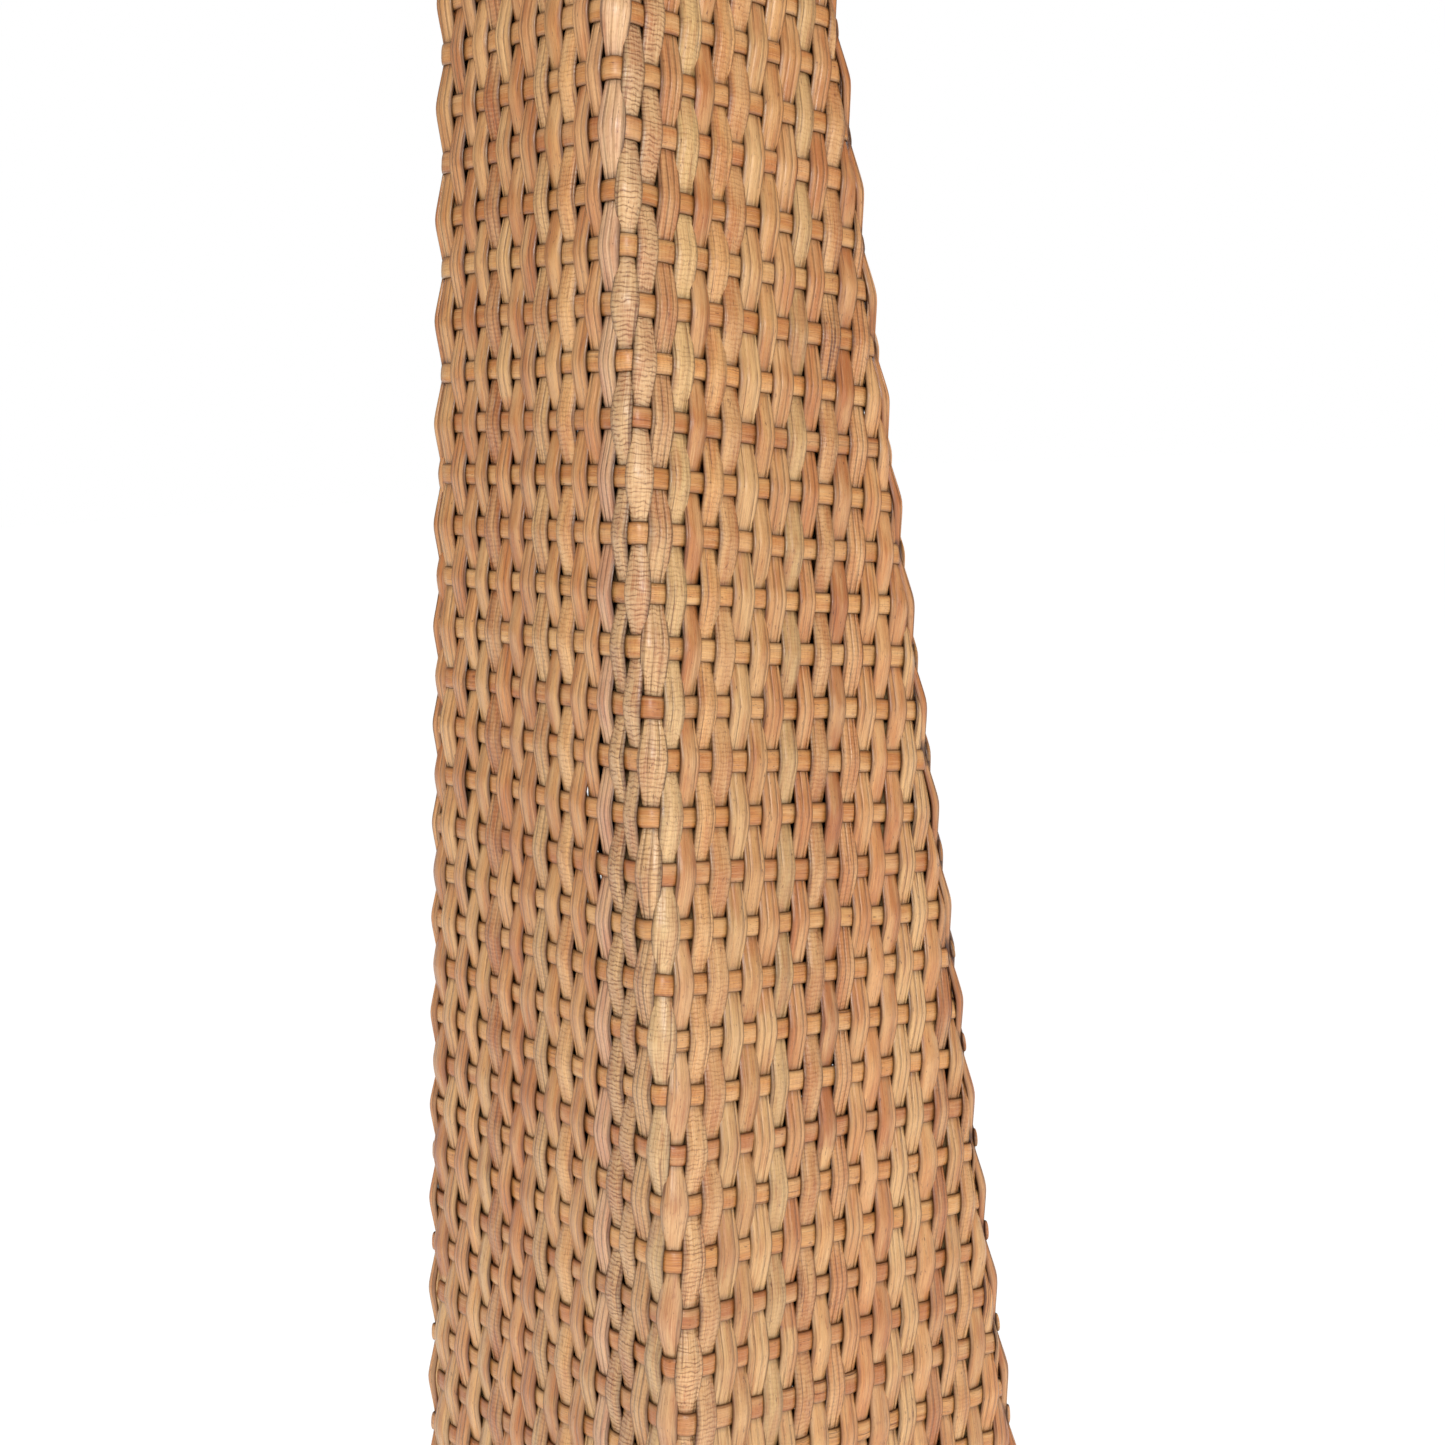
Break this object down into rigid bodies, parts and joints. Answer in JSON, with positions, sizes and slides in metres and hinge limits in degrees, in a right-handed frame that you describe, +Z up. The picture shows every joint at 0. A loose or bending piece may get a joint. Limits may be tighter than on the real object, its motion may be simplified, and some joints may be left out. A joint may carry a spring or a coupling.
{
  "type": "tiki torch",
  "caption": "Floor-standing garden torch: tapering square column of woven rattan on a base board, with a flared woven head, lift-out fuel canister, wick and snuffer.",
  "frame": {"origin": "on the ground, in the middle of the four feet", "axes": "+Z up along the column; the column's faces look along +X, -X, +Y and -Y, and -Y is the front"},
  "size_m": [0.236, 0.236, 1.4204],
  "materials": {
    "rattan": "split rattan, lightly varnished, straw to orange-brown",
    "stained_hardwood": "stained hardwood, satin",
    "turned_wood": "turned and oiled hardwood",
    "frame_softwood": "planed softwood, unfinished",
    "foot_rubber": "matt black moulded rubber",
    "gasket_rubber": "soft black rubber",
    "ballast_iron": "rough cast iron",
    "black_steel": "fine-textured black powder coat",
    "canister_steel": "spun steel",
    "brass": "aged satin brass",
    "wick_fibre": "plaited glass fibre",
    "zinc_fasteners": "zinc plated"
  },
  "bodies": {
    "root": {"ballast_plate": "ballast_iron", "ballast_screws": "zinc_fasteners", "base_board": "stained_hardwood", "base_trim_back": "stained_hardwood", "base_trim_front": "stained_hardwood", "base_trim_left": "stained_hardwood", "base_trim_right": "stained_hardwood", "corner_post_back_left": "frame_softwood", "corner_post_back_right": "frame_softwood", "corner_post_front_left": "frame_softwood", "corner_post_front_right": "frame_softwood", "foot_screws": "zinc_fasteners", "frame_nails": "zinc_fasteners", "frame_screws": "zinc_fasteners", "head_dowels": "frame_softwood", "head_panel_back": "rattan", "head_panel_front": "rattan", "head_panel_left": "rattan", "head_panel_right": "rattan", "head_plate": "black_steel", "head_post_back_left": "stained_hardwood", "head_post_back_right": "stained_hardwood", "head_post_front_left": "stained_hardwood", "head_post_front_right": "stained_hardwood", "head_rail_low_back": "stained_hardwood", "head_rail_low_front": "stained_hardwood", "head_rail_low_left": "stained_hardwood", "head_rail_low_right": "stained_hardwood", "head_rail_top_back": "stained_hardwood", "head_rail_top_front": "stained_hardwood", "head_rail_top_left": "stained_hardwood", "head_rail_top_right": "stained_hardwood", "neck_board": "stained_hardwood", "plate_screws": "zinc_fasteners", "rail_low_back": "frame_softwood", "rail_low_front": "frame_softwood", "rail_low_left": "frame_softwood", "rail_low_right": "frame_softwood", "rail_middle_back": "frame_softwood", "rail_middle_front": "frame_softwood", "rail_middle_left": "frame_softwood", "rail_middle_right": "frame_softwood", "rim_back": "stained_hardwood", "rim_front": "stained_hardwood", "rim_left": "stained_hardwood", "rim_right": "stained_hardwood", "rubber_feet": "foot_rubber", "trim_nails": "zinc_fasteners", "woven_panel_back": "rattan", "woven_panel_front": "rattan", "woven_panel_left": "rattan", "woven_panel_right": "rattan"},
    "canister": {"fuel_canister": "canister_steel"},
    "burner": {"burner_cap": "brass", "burner_gasket": "gasket_rubber", "wick_tube": "brass"},
    "wick": {"wick": "wick_fibre"},
    "snuffer": {"snuffer": "brass", "snuffer_knob": "turned_wood"}
  },
  "joints": [
    {"name": "canister_lift", "type": "slide", "parent": "root", "child": "canister", "axis": [0, 0, 1], "range_m": [0, 0.12]},
    {"name": "burner_lift", "type": "slide", "parent": "canister", "child": "burner", "axis": [0, 0, 1], "range_m": [0, 0.11]},
    {"name": "wick_slide", "type": "slide", "parent": "burner", "child": "wick", "axis": [0, 0, 1], "range_m": [-0.005, 0.01]},
    {"name": "snuffer_lift", "type": "slide", "parent": "burner", "child": "snuffer", "axis": [0, 0, 1], "range_m": [0, 0.1]}
  ]
}
